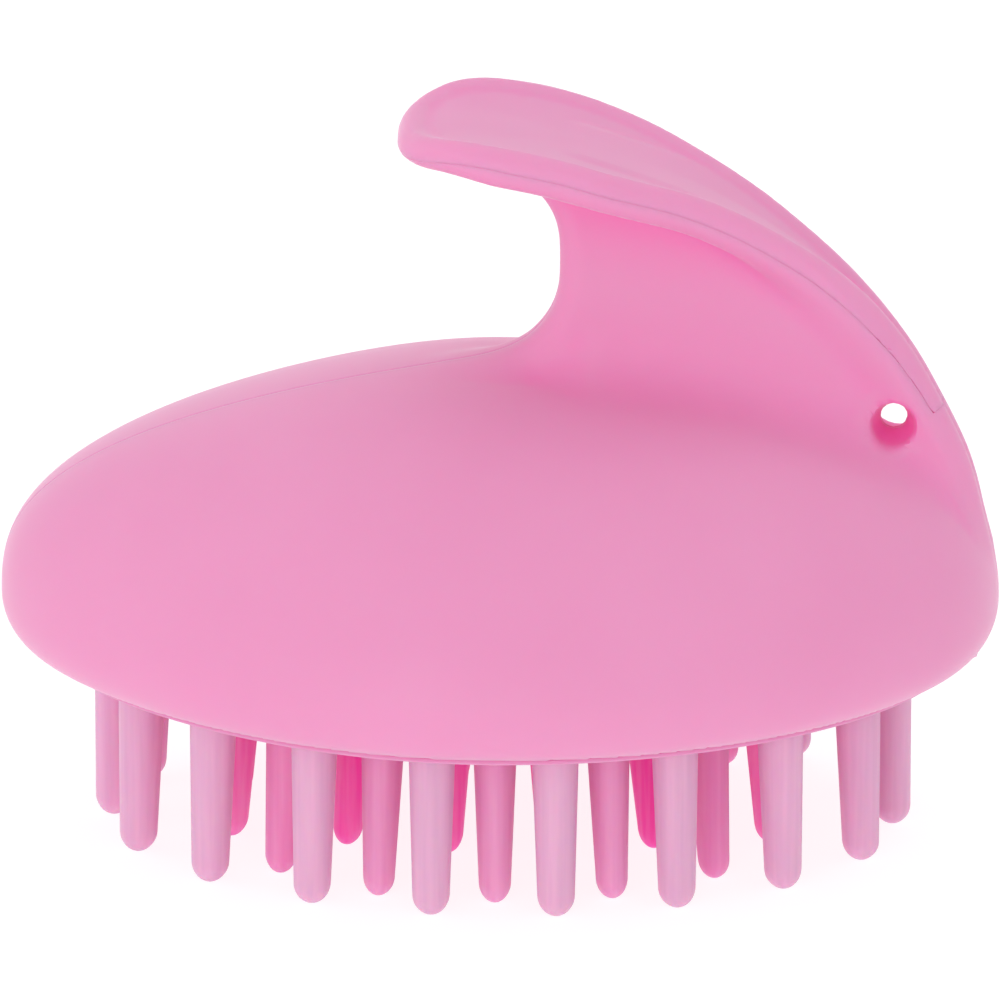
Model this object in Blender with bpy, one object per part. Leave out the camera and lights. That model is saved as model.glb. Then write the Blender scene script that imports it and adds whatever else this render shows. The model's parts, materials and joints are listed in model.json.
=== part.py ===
"""Scalp massager brush: a hollow domed grip with a finger flange, on a plate of soft tilting massage pins.

Metres, +Z up. The origin is on the floor under the middle of the brush, +X points to the end where the flange grows
out of the dome, and the brush is symmetric about the plane Y = 0. The pins stand on the floor.
"""

import math

import bmesh
import bpy
import numpy as np

MM = 0.001
GAP = 0.3 * MM

# Dome
DOME_HALF_LENGTH = 47.5 * MM
DOME_HALF_WIDTH = 34.6 * MM
DOME_WIDEST_Z = 22.5 * MM
DOME_TOP_Z = 46.0 * MM
DOME_FRONT_ARCH_POWER = 2.1
DOME_ROOT_ARCH_POWER = 2.3
DOME_CROWN_POWER = 1.5
FRONT_NARROWING = 0.17
ROOT_NARROWING = 0.08
DOME_WALL = 2.4 * MM
DOME_SEGMENTS = 48

# Base plate and the rim that it snaps into
PLATE_BOTTOM_Z = 16.8 * MM
PLATE_TOP_Z = 19.3 * MM
LIP_FRONT_LENGTH = 42.4 * MM
LIP_ROOT_LENGTH = 44.0 * MM
LIP_HALF_WIDTH = 30.8 * MM
LIP_HEIGHT = 0.6 * MM
PLUG_INSET = 1.3 * MM
SNAP_HEIGHT = 0.3 * MM
SNAP_REACH = 0.7 * MM

# Backing plate over the pin heads, and its screws
RETAINER_BOTTOM_Z = 21.8 * MM
RETAINER_THICKNESS = 1.6 * MM
RETAINER_INSET = 1.9 * MM
SCREW_X, SCREW_Y = 11.0 * MM, 15.0 * MM
SCREW_RADIUS = 0.95 * MM
SCREW_HEAD_RADIUS = 1.9 * MM
SCREW_HEAD_HEIGHT = 1.3 * MM
BOSS_RADIUS = 2.2 * MM
BOSS_HOLE_BOTTOM_Z = 18.0 * MM

# Pins: name, count, half-length and half-width of the oval that the tips lie on, its squareness, how far the spacing
# goes from even lengths (0) to even angles (1), first place (0 puts a pin at the front middle, 0.5 puts the front
# middle between two pins), lean outwards in degrees, root and tip radius
RINGS = (
    ("outer", 18, 37.1 * MM, 26.4 * MM, 2.0, 0.4, 0.5, 1.5, 2.20 * MM, 1.75 * MM),
    ("middle", 14, 26.2 * MM, 22.7 * MM, 2.25, 0.0, 0.0, 3.5, 2.10 * MM, 1.50 * MM),
    ("inner", 10, 19.8 * MM, 9.6 * MM, 2.6, 0.0, 0.5, 5.0, 2.05 * MM, 1.40 * MM),
)
RINGS_CENTRE_X = 0.3 * MM
PIN_SIDES = 10
PIN_TIP_HEIGHT = 2.0 * MM
PIN_HOLE_RADIUS = 2.65 * MM
PIN_HEAD_RADIUS = 2.75 * MM
PIN_HEAD_BOTTOM_Z = PLATE_TOP_Z + 0.6 * MM
PIN_HEAD_HEIGHT = 1.2 * MM

# Flange: its spine runs along the top of the mid-plane, from the nose to the root, as (x, z)
SPINE = (
    (-9.6, 70.4), (-4.5, 71.6), (3.0, 70.9), (12.0, 68.3), (20.0, 65.0), (28.0, 60.0),
    (34.0, 54.8), (38.5, 49.2), (42.0, 43.0), (44.7, 37.0), (46.4, 31.0), (47.1, 26.0),
)
# Half-width of the flange over its rim, as (x, half-width)
FLANGE_WIDTHS = (
    (5.0, 11.5), (10.0, 11.2), (14.0, 10.2), (19.0, 8.4), (25.0, 6.4), (31.5, 3.9), (35.0, 3.0), (48.0, 2.6),
)
NOSE_X = -9.7 * MM
NOSE_BLUNTNESS = 2.4
FLANGE_THICKNESS = 4.3 * MM
FLANGE_RIM = 2.0 * MM
FLANGE_DISH = 0.5 * MM
CAP_DEPTH = 2.1 * MM
CAP_END_DEPTH = 1.0 * MM
CAP_END_STATION = 0.78
FLANGE_STATIONS = 26

# Web between the dome and the flange
WEB_HALF_THICKNESS = 2.9 * MM
WEB_ROOT_HALF_THICKNESS = 2.3 * MM
WEB_FRONT_X = 5.9 * MM
WEB_FRONT_Z = 57.0 * MM
WEB_FRONT_REACH = 8.5 * MM
WEB_FRONT_HALF_HEIGHT = 10.5 * MM
FILLET = 3.2 * MM

# Hole for hanging the brush up, through the web near its root
HANG_HOLE_X, HANG_HOLE_Z = 37.4 * MM, 41.2 * MM
HANG_HOLE_RADIUS = 1.3 * MM
HANG_HOLE_MOUTH_RADIUS = 2.0 * MM


def linear(hex_colour):
    """The linear colour of an sRGB hex value, with full alpha."""
    parts = [int(hex_colour[i : i + 2], 16) / 255 for i in (1, 3, 5)]
    return [c / 12.92 if c <= 0.04045 else ((c + 0.055) / 1.055) ** 2.4 for c in parts] + [1.0]


def material(name, hex_colour, roughness, metallic=0.0):
    made = bpy.data.materials.new(name)
    made.use_nodes = True
    shader = made.node_tree.nodes["Principled BSDF"]
    shader.inputs["Base Color"].default_value = linear(hex_colour)
    shader.inputs["Roughness"].default_value = roughness
    shader.inputs["Metallic"].default_value = metallic
    return made


def solid(name, points, faces, finish=None):
    """An object from points and faces, with its faces turned outwards and its round sides smooth."""
    mesh = bpy.data.meshes.new(name)
    mesh.from_pydata([tuple(p) for p in points], [], faces)
    work = bmesh.new()
    work.from_mesh(mesh)
    bmesh.ops.recalc_face_normals(work, faces=work.faces)
    work.to_mesh(mesh)
    work.free()
    made = bpy.data.objects.new(name, mesh)
    bpy.context.collection.objects.link(made)
    if finish:
        finish_as(made, finish)
    return made


def finish_as(made, finish):
    made.data.materials.clear()
    made.data.materials.append(finish)
    made.data.shade_smooth()
    made.data.set_sharp_from_angle(angle=math.radians(35))


def loft(rings, strip_ends=False):
    """Points and faces of a closed body through rings of equally many points.

    The ends are one face each, or strips from one half of the ring to the other where the end isn't flat.
    """
    count = len(rings[0])
    points = [p for ring in rings for p in ring]
    last = count * (len(rings) - 1)
    if strip_ends:
        strips = [[i, i + 1, count - 2 - i, count - 1 - i] for i in range(count // 2 - 1)]
        faces = strips + [[last + i for i in strip] for strip in strips]
    else:
        faces = [list(range(count)), [last + i for i in range(count)]]
    for row in range(len(rings) - 1):
        for i in range(count):
            a, b = row * count + i, row * count + (i + 1) % count
            faces.append([a, b, b + count, a + count])
    return points, faces


def combine(target, tool, operation):
    """Applies a Boolean of the tool to the target and removes the tool."""
    step = target.modifiers.new(operation.lower(), "BOOLEAN")
    step.operation = operation
    step.object = tool
    graph = bpy.context.evaluated_depsgraph_get()
    mesh = bpy.data.meshes.new_from_object(target.evaluated_get(graph))
    target.modifiers.clear()
    target.data = mesh
    bpy.data.objects.remove(tool)
    return target


def turned(name, profile, centre=(0.0, 0.0), sides=12, finish=None):
    """A body turned about a vertical axis, from (radius, z) pairs."""
    angles = [2 * math.pi * i / sides for i in range(sides)]
    rings = [
        [(centre[0] + r * math.cos(t), centre[1] + r * math.sin(t), z) for t in angles] for r, z in profile
    ]
    return solid(name, *loft(rings), finish)


def oval_ring(sizes, z, inset=0.0):
    """A level egg-shaped oval: sizes are its length forwards, its length to the root end and its half-width."""
    forwards, rootwards, half_width = (size - inset for size in sizes)
    ring = []
    for i in range(DOME_SEGMENTS):
        turn = 2 * math.pi * i / DOME_SEGMENTS
        along = math.cos(turn)
        reach, narrowing = (rootwards, ROOT_NARROWING) if along > 0 else (forwards, FRONT_NARROWING)
        ring.append((reach * along, half_width * math.sin(turn) * (1 - narrowing * along**2), z))
    return ring


def lip_sizes():
    return LIP_FRONT_LENGTH, LIP_ROOT_LENGTH, LIP_HALF_WIDTH


def dome_sizes(z):
    """The sizes of the oval round the dome's outside at height z."""
    if z >= DOME_WIDEST_Z:
        rise = min((z - DOME_WIDEST_Z) / (DOME_TOP_Z - DOME_WIDEST_Z), 1.0)
        return (
            DOME_HALF_LENGTH * math.sqrt(1 - rise**DOME_FRONT_ARCH_POWER),
            DOME_HALF_LENGTH * math.sqrt(1 - rise**DOME_ROOT_ARCH_POWER),
            DOME_HALF_WIDTH * math.sqrt(1 - rise**DOME_CROWN_POWER),
        )
    drop = (DOME_WIDEST_Z - z) / (DOME_WIDEST_Z - PLATE_BOTTOM_Z)
    under = 1 - (1 - drop**2) ** 0.6
    widest = (DOME_HALF_LENGTH, DOME_HALF_LENGTH, DOME_HALF_WIDTH)
    return tuple(wide + (lip - wide) * under for wide, lip in zip(widest, lip_sizes()))


def dome_top_z(x):
    """Height of the dome's outside on the mid-plane."""
    level = max(1 - (x / DOME_HALF_LENGTH) ** 2, 0.0)
    power = DOME_FRONT_ARCH_POWER if x < 0 else DOME_ROOT_ARCH_POWER
    return DOME_WIDEST_Z + (DOME_TOP_Z - DOME_WIDEST_Z) * level ** (1 / power)


def rim_bottom_z():
    return PLATE_BOTTOM_Z + LIP_HEIGHT + GAP


def dome_outside():
    heights = [rim_bottom_z()] + [z * MM for z in (18.4, 20.0, 22.5, 26.0, 30.0, 34.0, 38.0, 41.5, 44.0, 45.5, 45.95)]
    return solid("dome_outside", *loft([oval_ring(dome_sizes(z), z) for z in heights]))


def dome_inside():
    """The hollow: the rim's mouth, a ledge that the plate's snap edge hooks over, and the room above it."""
    ledge_z = PLATE_TOP_Z - SNAP_HEIGHT - GAP
    mouth = PLUG_INSET - GAP
    room = mouth - SNAP_REACH
    rings = [(mouth, PLATE_BOTTOM_Z), (mouth, ledge_z), (room, ledge_z), (room, ledge_z + 1.2 * MM)]
    rings = [oval_ring(lip_sizes(), z, inset) for inset, z in rings]
    for z in (22.5, 27.0, 32.0, 37.0, 41.0, 43.2):
        rings.append(oval_ring(dome_sizes((z + 2.0) * MM), z * MM, DOME_WALL))
    return solid("dome_inside", *loft(rings))


def smooth_through(points, x):
    """The height at x of a smooth curve through points, with x rising."""
    xs, ys = np.array(points, float).T
    slopes = np.gradient(ys, xs)
    i = int(np.clip(np.searchsorted(xs, x) - 1, 0, len(xs) - 2))
    width = xs[i + 1] - xs[i]
    t = (np.clip(x, xs[0], xs[-1]) - xs[i]) / width
    ends = (2 * t**3 - 3 * t**2 + 1) * ys[i] + (3 * t**2 - 2 * t**3) * ys[i + 1]
    return float(ends + width * ((t**3 - 2 * t**2 + t) * slopes[i] + (t**3 - t**2) * slopes[i + 1]))


def spine(station):
    """Point on the spine and the outward normal there, both as (x, z), for a station from 0 at the nose to 1."""
    along = np.concatenate([[0.0], np.cumsum(np.hypot(*np.diff(np.array(SPINE), axis=0).T))])
    along /= along[-1]

    def at(s):
        x = smooth_through(list(zip(along, [p[0] for p in SPINE])), s)
        z = smooth_through(list(zip(along, [p[1] for p in SPINE])), s)
        return np.array([x, z]) * MM

    step = 0.004
    tangent = at(min(station + step, 1.0)) - at(max(station - step, 0.0))
    tangent /= np.linalg.norm(tangent)
    return at(station), np.array([-tangent[1], tangent[0]])


def flange_half_width(x):
    widest_x = FLANGE_WIDTHS[0][0] * MM
    if x < widest_x:
        reach = min((widest_x - x) / (widest_x - NOSE_X), 1.0)
        return FLANGE_WIDTHS[0][1] * MM * (1 - reach**NOSE_BLUNTNESS) ** (1 / NOSE_BLUNTNESS)
    return smooth_through(FLANGE_WIDTHS, x / MM) * MM


def flange_section(station):
    """The flange's closed outline across its spine: a dished top, a full round rim and a flat underside."""
    (x, z), normal = spine(station)
    half = max(flange_half_width(x), 1.2 * MM)
    rim = min(FLANGE_RIM, 0.6 * half)
    crease = half - rim
    nose = min(1.0, 0.45 + (x - NOSE_X) / (5 * MM))
    dish = FLANGE_DISH * min(crease / (6 * MM), 1.0)
    side = [
        (0.6 * crease, -0.5 * dish),
        (crease, 0.0),
        (crease + 0.55 * rim, -0.45 * MM),
        (crease + 0.9 * rim, -1.2 * MM),
        (half, -2.1 * MM),
        (crease + 0.85 * rim, -3.1 * MM),
        (crease + 0.4 * rim, -3.9 * MM),
        (0.8 * crease, -FLANGE_THICKNESS),
    ]
    outline = [(0.0, -dish)] + side + [(0.0, -FLANGE_THICKNESS)] + [(-y, n) for y, n in reversed(side)]
    middle = -0.5 * FLANGE_THICKNESS
    depths = [middle + (n - middle) * nose for _, n in outline]
    return [(x + normal[0] * n, y, z + normal[1] * n) for (y, _), n in zip(outline, depths)]


def flange_stations():
    """Stations that crowd towards the rounded nose."""
    return [(i / (FLANGE_STATIONS - 1)) ** 1.35 for i in range(FLANGE_STATIONS)]


def flange_body():
    return solid("flange_body", *loft([flange_section(s) for s in flange_stations()]))


def cap_zone(clearance):
    """All the space that the cap may fill: above the parting line, out to where the cap runs out."""
    end = CAP_END_STATION + 0.5 * clearance / (100 * MM)
    rings = []
    for i in range(18):
        station = end * i / 17
        (x, z), normal = spine(station)
        if i == 0:
            x, z = x - 3 * MM * normal[1], z + 3 * MM * normal[0]
        run_out = max(0.0, (station / CAP_END_STATION - 0.75) / 0.25)
        depth = CAP_DEPTH + (CAP_END_DEPTH - CAP_DEPTH) * run_out + clearance
        corners = [(-15 * MM, -depth), (15 * MM, -depth), (15 * MM, 4 * MM), (-15 * MM, 4 * MM)]
        rings.append([(x + normal[0] * n, y, z + normal[1] * n) for y, n in corners])
    return solid("cap_zone", *loft(rings))


def web_point(s, v):
    """A point of the web's middle surface: s runs from the front edge to the root, v from the dome to the flange."""
    bottom_x = (-3.5 + 49.0 * s) * MM
    bottom = np.array([bottom_x, dome_top_z(bottom_x) - 1.4 * MM])
    point, normal = spine(0.135 + 0.845 * s)
    top = point - 3.2 * MM * normal
    straight = bottom + (top - bottom) * v
    front_z = bottom[1] + (top[1] - bottom[1]) * v
    rise = (front_z - WEB_FRONT_Z) / WEB_FRONT_HALF_HEIGHT
    front_x = WEB_FRONT_X - WEB_FRONT_REACH * abs(rise) ** 3
    start = np.array([-3.5 * MM, 0.0])
    start[0] += (spine(0.135)[0][0] + 3.5 * MM) * v
    shift = (front_x - start[0]) * (1 - s) ** 4
    return straight + np.array([shift, 0.0]), float(np.linalg.norm(top - bottom))


def web_half_thickness(s, v, height):
    """Thin in the middle and flared into the dome and the flange, with a rounded front edge."""
    base = WEB_HALF_THICKNESS + (WEB_ROOT_HALF_THICKNESS - WEB_HALF_THICKNESS) * s
    to_dome = max(v * height - 1.4 * MM, 0.0)
    to_flange = max((1 - v) * height - 1.1 * MM, 0.0)
    room = min(max((1 - s) * 1.6, 0.0), 1.0)
    flare = FILLET * room * (math.exp(-to_dome / (2.0 * MM)) + math.exp(-to_flange / (1.8 * MM)))
    front = min(1.0, 0.45 + 0.55 * math.sqrt(s / 0.06))
    return (base + flare) * front


def web_body():
    rows = 15
    places = (0.0, 0.015, 0.05, 0.11, 0.2, 0.32, 0.45, 0.57, 0.69, 0.8, 0.9, 1.0)
    rings = []
    for s in places:
        side = []
        for row in range(rows):
            v = 0.5 - 0.5 * math.cos(math.pi * row / (rows - 1))
            (x, z), height = web_point(s, v)
            side.append((x, web_half_thickness(s, v, height), z))
        rings.append(side + [(x, -y, z) for x, y, z in reversed(side)])
    return solid("web_body", *loft(rings, strip_ends=True))


def hang_hole():
    """A round hole along Y whose mouths open out into cones."""
    mouth, waist = HANG_HOLE_MOUTH_RADIUS, HANG_HOLE_RADIUS
    profile = [(mouth + 3 * MM, -6.0), (mouth, -3.0), (waist, -0.6), (waist, 0.6), (mouth, 3.0), (mouth + 3 * MM, 6.0)]
    angles = [2 * math.pi * i / 20 for i in range(20)]
    rings = [
        [(HANG_HOLE_X + r * math.cos(t), y * MM, HANG_HOLE_Z + r * math.sin(t)) for t in angles] for r, y in profile
    ]
    return solid("hang_hole", *loft(rings))


def box(name, low, high):
    corners = [[(x, y, z) for x, y in ((low[0], low[1]), (high[0], low[1]), (high[0], high[1]), (low[0], high[1]))]
               for z in (low[2], high[2])]
    return solid(name, *loft(corners))


def make_shells(finish):
    """The grip's two mouldings, which meet on the mid-plane."""
    near = dome_outside()
    near.name = "near_shell"
    combine(near, web_body(), "UNION")
    combine(near, flange_body(), "UNION")
    combine(near, dome_inside(), "DIFFERENCE")
    combine(near, cap_zone(GAP), "DIFFERENCE")
    combine(near, hang_hole(), "DIFFERENCE")
    reach = 0.1
    combine(near, box("half_space", (-reach, -reach, -reach), (reach, -0.5 * GAP, reach)), "INTERSECT")
    finish_as(near, finish)
    far = bpy.data.objects.new("far_shell", near.data.copy())
    bpy.context.collection.objects.link(far)
    work = bmesh.new()
    work.from_mesh(far.data)
    bmesh.ops.scale(work, vec=(1.0, -1.0, 1.0), verts=work.verts)
    bmesh.ops.reverse_faces(work, faces=work.faces)
    work.to_mesh(far.data)
    work.free()
    finish_as(far, finish)


def make_grip_cap(finish):
    """The top of the flange, which covers the joint between the two shells."""
    cap = flange_body()
    cap.name = "grip_cap"
    combine(cap, cap_zone(0.0), "INTERSECT")
    finish_as(cap, finish)


def places_on_oval(count, half_length, half_width, squareness, by_angle, first):
    """Points spaced along a squarish oval, between even lengths and even angles, counted from its front middle."""
    turn = np.linspace(-np.pi / 2, 1.5 * np.pi, 1441)
    x = half_length * np.sign(np.cos(turn)) * np.abs(np.cos(turn)) ** (2 / squareness)
    y = half_width * np.sign(np.sin(turn)) * np.abs(np.sin(turn)) ** (2 / squareness)
    along = np.concatenate([[0.0], np.cumsum(np.hypot(np.diff(x), np.diff(y)))])
    share = (np.arange(count) + first) / count
    at_angles = np.interp(share * 2 * np.pi - np.pi / 2, turn, along)
    wanted = by_angle * at_angles + (1 - by_angle) * share * along[-1]
    return [(float(np.interp(w, along, x)) + RINGS_CENTRE_X, float(np.interp(w, along, y))) for w in wanted]


def pin_places():
    """Every pin as (name, root x, root y, x and y shift from root to tip, root radius, tip radius)."""
    places = []
    for name, *oval, lean, root_radius, tip_radius in RINGS:
        reach = PLATE_BOTTOM_Z * math.tan(math.radians(lean))
        for i, (x, y) in enumerate(places_on_oval(*oval), 1):
            out = np.array([x, y]) / math.hypot(x, y) * reach
            root = (x - out[0], y - out[1])
            places.append((f"{name}_pin_{i:02d}", root[0], root[1], out[0], out[1], root_radius, tip_radius))
    return places


def pin_axis_z():
    """Height of the middle of the plate, about which a pin tilts in its hole."""
    return 0.5 * (PLATE_BOTTOM_Z + PLATE_TOP_Z)


def make_pin(name, x, y, shift_x, shift_y, root_radius, tip_radius, finish):
    """A soft pin: a head above the plate, a neck through its hole, and a tapered stem that leans outwards."""
    profile = [(0.9 * PIN_HEAD_RADIUS, PIN_HEAD_BOTTOM_Z + PIN_HEAD_HEIGHT)]
    profile.append((PIN_HEAD_RADIUS, PIN_HEAD_BOTTOM_Z + 0.7 * PIN_HEAD_HEIGHT))
    profile.append((PIN_HEAD_RADIUS, PIN_HEAD_BOTTOM_Z))
    profile.append((root_radius, PIN_HEAD_BOTTOM_Z))
    profile.append((root_radius, PLATE_BOTTOM_Z))
    flat = math.radians(20)
    for turn in (math.pi / 2, math.radians(52), flat):
        height = PIN_TIP_HEIGHT * (math.cos(flat) - math.cos(turn)) / math.cos(flat)
        profile.append((tip_radius * math.sin(turn), height))
    angles = [2 * math.pi * (i + 0.5) / PIN_SIDES for i in range(PIN_SIDES)]
    rings = []
    for r, z in profile:
        lean = max(0.0, 1 - z / PLATE_BOTTOM_Z)
        centre = (shift_x * lean, shift_y * lean)
        rings.append([(centre[0] + r * math.cos(t), centre[1] + r * math.sin(t), z - pin_axis_z()) for t in angles])
    pin = solid(name, *loft(rings), finish)
    pin.location = (x, y, pin_axis_z())


def screw_places():
    return [(side_x * SCREW_X, side_y * SCREW_Y) for side_x in (-1, 1) for side_y in (-1, 1)]


def make_base_plate(finish):
    """The plate that holds the pins: a thin lip, a plug with a snap edge, pin holes and four screw bosses."""
    lip_z = PLATE_BOTTOM_Z + LIP_HEIGHT
    snap_z = PLATE_TOP_Z - SNAP_HEIGHT
    edge = 0.15 * MM
    outline = [
        (edge, PLATE_BOTTOM_Z),
        (0.0, PLATE_BOTTOM_Z + edge),
        (0.0, lip_z),
        (PLUG_INSET, lip_z),
        (PLUG_INSET, snap_z),
        (PLUG_INSET - SNAP_REACH, snap_z),
        (PLUG_INSET, PLATE_TOP_Z),
    ]
    plate = solid("base_plate", *loft([oval_ring(lip_sizes(), z, inset) for inset, z in outline]))
    boss_top = RETAINER_BOTTOM_Z - GAP
    for place in screw_places():
        boss = turned("boss", [(BOSS_RADIUS, PLATE_TOP_Z - 0.5 * MM), (BOSS_RADIUS, boss_top)], place)
        combine(plate, boss, "UNION")
        hole_radius = SCREW_RADIUS + GAP
        hole = turned("boss_hole", [(hole_radius, BOSS_HOLE_BOTTOM_Z), (hole_radius, boss_top + MM)], place)
        combine(plate, hole, "DIFFERENCE")
    holes = None
    for _, x, y, *_ in pin_places():
        span = [(PIN_HOLE_RADIUS, PLATE_BOTTOM_Z - MM), (PIN_HOLE_RADIUS, PLATE_TOP_Z + MM)]
        hole = turned("pin_hole", span, (x, y), PIN_SIDES)
        holes = combine(holes, hole, "UNION") if holes else hole
    combine(plate, holes, "DIFFERENCE")
    finish_as(plate, finish)


def make_retainer(finish):
    """The backing plate that keeps the pin heads down."""
    top_z = RETAINER_BOTTOM_Z + RETAINER_THICKNESS
    rings = [oval_ring(lip_sizes(), z, RETAINER_INSET) for z in (RETAINER_BOTTOM_Z, top_z)]
    retainer = solid("pin_retainer", *loft(rings))
    for place in screw_places():
        hole_radius = SCREW_RADIUS + GAP
        hole = turned("screw_hole", [(hole_radius, RETAINER_BOTTOM_Z - MM), (hole_radius, top_z + MM)], place)
        combine(retainer, hole, "DIFFERENCE")
    finish_as(retainer, finish)


def make_screws(finish):
    """Pan-head screws that clamp the backing plate to the bosses, driven from above."""
    seat_z = RETAINER_BOTTOM_Z + RETAINER_THICKNESS + GAP
    top_z = seat_z + SCREW_HEAD_HEIGHT
    for i, place in enumerate(screw_places(), 1):
        profile = [
            (0.4 * SCREW_RADIUS, BOSS_HOLE_BOTTOM_Z + GAP),
            (SCREW_RADIUS, BOSS_HOLE_BOTTOM_Z + 3 * GAP),
            (SCREW_RADIUS, seat_z),
            (SCREW_HEAD_RADIUS, seat_z),
            (SCREW_HEAD_RADIUS, seat_z + 0.5 * SCREW_HEAD_HEIGHT),
            (0.75 * SCREW_HEAD_RADIUS, top_z),
            (0.35 * SCREW_HEAD_RADIUS, top_z),
            (0.25 * SCREW_HEAD_RADIUS, top_z - 0.6 * SCREW_HEAD_HEIGHT),
        ]
        turned(f"cassette_screw_{i}", profile, place, finish=finish)


def main():
    for old in list(bpy.data.objects):
        bpy.data.objects.remove(old)
    grip = material("soft_touch_pink", "#e58fbe", 0.55)
    plate = material("moulded_pink", "#e99cc6", 0.45)
    silicone = material("silicone_pink", "#ec7db4", 0.5)
    steel = material("zinc_plated_steel", "#b9bcc0", 0.35, 1.0)
    make_shells(grip)
    make_grip_cap(grip)
    make_base_plate(plate)
    make_retainer(plate)
    make_screws(steel)
    for place in pin_places():
        make_pin(*place, silicone)


main()
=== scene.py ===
"""Scalp massager brush: the finished surfaces of its grip, base plate, pins and screws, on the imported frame."""

import json
import math

import bmesh
import bpy
import numpy as np
from mathutils import Matrix, Vector


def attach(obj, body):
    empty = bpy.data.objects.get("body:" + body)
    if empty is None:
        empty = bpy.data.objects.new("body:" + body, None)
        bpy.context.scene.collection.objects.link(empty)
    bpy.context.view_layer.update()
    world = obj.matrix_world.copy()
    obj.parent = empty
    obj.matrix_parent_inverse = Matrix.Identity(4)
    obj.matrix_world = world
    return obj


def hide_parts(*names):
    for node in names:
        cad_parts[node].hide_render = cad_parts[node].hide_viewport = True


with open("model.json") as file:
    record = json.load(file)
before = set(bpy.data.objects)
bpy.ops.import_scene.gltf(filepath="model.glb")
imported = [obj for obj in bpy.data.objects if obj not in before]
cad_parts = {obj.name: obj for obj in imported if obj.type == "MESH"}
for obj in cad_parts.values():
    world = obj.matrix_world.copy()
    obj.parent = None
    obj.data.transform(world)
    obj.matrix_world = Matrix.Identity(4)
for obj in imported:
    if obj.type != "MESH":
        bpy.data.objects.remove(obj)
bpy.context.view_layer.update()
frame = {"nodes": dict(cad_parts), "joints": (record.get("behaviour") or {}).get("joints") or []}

MM = 0.001

# The grip's shape, in millimetres
DOME_HALF_LENGTH, DOME_HALF_WIDTH = 47.42, 34.55
DOME_WIDEST_Z, DOME_TOP_Z, DOME_RIM_Z = 23.0, 46.25, 17.58
DOME_FRONT_ARCH_POWER, DOME_ROOT_ARCH_POWER, DOME_CROWN_POWER = 2.6, 2.3, 1.5
DOME_FRONT_SLIMMING = 0.5
DOME_HIGHEST_RISE = 1.35
FRONT_NARROWING, ROOT_NARROWING = 0.17, 0.08
PLATE_BOTTOM_Z, PLATE_TOP_Z = 16.8, 19.3
LIP_FRONT_LENGTH, LIP_ROOT_LENGTH, LIP_HALF_WIDTH, LIP_HEIGHT = 42.5, 43.1, 31.0, 0.6
# The flange's highest line, from its nose to its root: x and z
SPINE = (
    (-9.6, 70.4), (-4.5, 71.6), (3.0, 70.9), (12.0, 68.3), (20.0, 65.0), (28.0, 60.0),
    (34.0, 54.8), (38.5, 49.2), (42.0, 43.0), (44.7, 37.0), (46.4, 31.0), (47.1, 26.0),
)
# How far the flange reaches to each side: x and half its width
FLANGE_WIDTHS = (
    (5.0, 11.5), (10.0, 11.2), (14.0, 10.2), (19.0, 8.1), (25.0, 6.15), (31.5, 3.9), (35.0, 3.0), (48.0, 2.6),
)
NOSE_X, NOSE_BLUNTNESS = -10.1, 2.65
FLANGE_THICKNESS, FLANGE_TOP_DROP, FLANGE_ROUNDING, FLANGE_DISH = 3.9, 0.25, 1.7, 0.75
CREASE_INSET, DISH_WALL, DISH_WALL_SHARE, BOWL_REACH = 1.6, 1.8, 0.55, 9.0
NOSE_SLIMMING, ROOT_SINK, END_SINK, END_STATION = 1.0, 0.5, 0.25, 0.97
CAP_DEPTH, CAP_END_DEPTH, CAP_END = 2.1, 1.0, 0.78
WEB_HALF_THICKNESS, WEB_ROOT_HALF_THICKNESS = 2.9, 2.3
WEB_FRONT_X, WEB_FRONT_Z, WEB_FRONT_HALF_HEIGHT, WEB_CURVE_ENDS = 5.7, 57.0, 10.5, (-1.2, 0.9)
WEB_FOOT_REACH, WEB_ARM_REACH, WEB_EDGE_ROUNDING, WEB_TOP_DEPTH, WEB_LOWEST_Z = 6.6, 8.5, 2.2, 0.68, 26.0
HANG_HOLE_X, HANG_HOLE_Z, HANG_HOLE_RADIUS, HANG_HOLE_MOUTH_RADIUS = 37.4, 41.3, 1.22, 2.05

# How the mouldings are finished, in millimetres: the spacing of their points, fillets, seams and walls
GRID = 0.55
VALLEY_BLEND, VALLEY_ROOT_BLEND, VALLEY_FRONT_BLEND = 5.6, 1.5, 3.0
FLANGE_BLEND, FLANGE_NOSE_BLEND, HOLE_ROUNDING = 2.8, 1.0, 0.45
SEAM_HALF_GAP, SEAM_CHAMFER, CAP_CHAMFER = 0.003, 0.13, 0.04
SKIN = 0.8
SHARP_EDGE = math.radians(40)

# The pins, in millimetres: root and tip radius by ring, and how the rings of points are shared out up a pin
PIN_RADII = {"outer": (2.20, 1.75), "middle": (2.10, 1.50), "inner": (2.05, 1.40)}
PIN_TIP_HEIGHT, PIN_HEAD_RADIUS, PIN_HEAD_HEIGHT, PIN_HEAD_GAP = 2.0, 2.7, 1.2, 0.6
PIN_LINE_HEIGHT, PIN_LINE_SHARPNESS = 0.05, 160.0
PIN_SIDES, PIN_RINGS = 36, 46
TIP_RINGS, STEM_RINGS, NECK_RINGS = 0.3, 0.5, 0.62
PIN_HOLE_RADIUS, PIN_HOLE_BELL, PIN_HOLE_SIDES = 2.5, 0.25, 28


# ---------------------------------------------------------------- shape of the grip

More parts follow.
